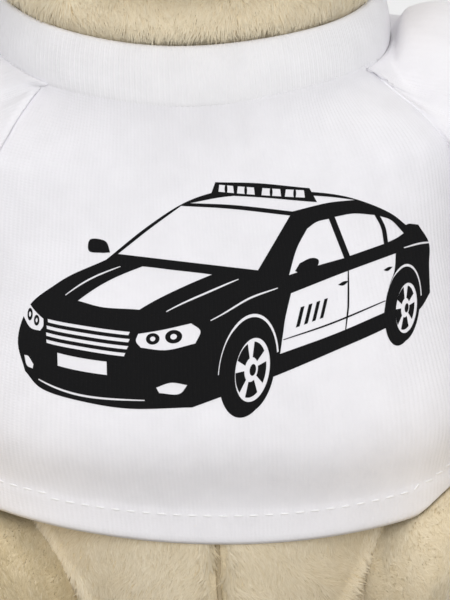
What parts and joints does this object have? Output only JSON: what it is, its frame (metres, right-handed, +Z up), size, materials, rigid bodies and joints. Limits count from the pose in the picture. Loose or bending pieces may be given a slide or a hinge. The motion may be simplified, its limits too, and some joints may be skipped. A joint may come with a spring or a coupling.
{
  "type": "plush teddy bear in a printed T-shirt",
  "caption": "Seated plush bear in a white raglan T-shirt with a black print of a patrol car on the chest; head, arms and legs turn at their seams.",
  "frame": {"origin": "middle of the flat seat, on the surface that the bear sits on", "axes": "+Z up, -Y the way the bear faces, +X the bear's own left side"},
  "size_m": [0.1996, 0.1327, 0.2135],
  "materials": {
    "plush": "short soft plush pile, beige",
    "muzzle_plush": "short soft plush pile, cream",
    "velour": "flat velour, light brown",
    "jersey": "white cotton jersey, matt, with a black print",
    "rib": "white one-by-one rib knit, matt",
    "eye": "polished dark brown",
    "nose": "satin stitch, dark brown"
  },
  "bodies": {
    "trunk": {"body": "plush", "tail": "plush", "shirt_front": "jersey", "shirt_back": "jersey", "neckband": "rib"},
    "head": {"head": "plush", "muzzle": "muzzle_plush", "nose": "nose", "eye_left": "eye", "eye_right": "eye", "ear_left": "plush", "ear_right": "plush"},
    "arm_left": {"arm_left": "plush", "sleeve_left": "jersey", "paw_pad_left": "velour"},
    "leg_left": {"leg_left": "plush", "sole_left": "velour"},
    "arm_right": {"arm_right": "plush", "sleeve_right": "jersey", "paw_pad_right": "velour"},
    "leg_right": {"leg_right": "plush", "sole_right": "velour"}
  },
  "joints": [
    {"name": "neck_turn", "type": "hinge", "parent": "trunk", "child": "head", "pos_m": [0, 0, 0.1207], "axis": [0, 0, 1], "range_deg": [-70, 70]},
    {"name": "shoulder_left", "type": "hinge", "parent": "trunk", "child": "arm_left", "pos_m": [0.0485, -0.002, 0.105], "axis": [-0.3746, -0.9272, 0], "range_deg": [-24, 65]},
    {"name": "shoulder_right", "type": "hinge", "parent": "trunk", "child": "arm_right", "pos_m": [-0.0485, -0.002, 0.105], "axis": [-0.3746, 0.9272, 0], "range_deg": [-24, 65]},
    {"name": "hip_left", "type": "hinge", "parent": "trunk", "child": "leg_left", "pos_m": [0.0415, -0.01, 0.0225], "axis": [-0.9397, -0.342, 0], "range_deg": [-60, 0]},
    {"name": "hip_right", "type": "hinge", "parent": "trunk", "child": "leg_right", "pos_m": [-0.0415, -0.01, 0.0225], "axis": [-0.9397, 0.342, 0], "range_deg": [-60, 0]}
  ]
}
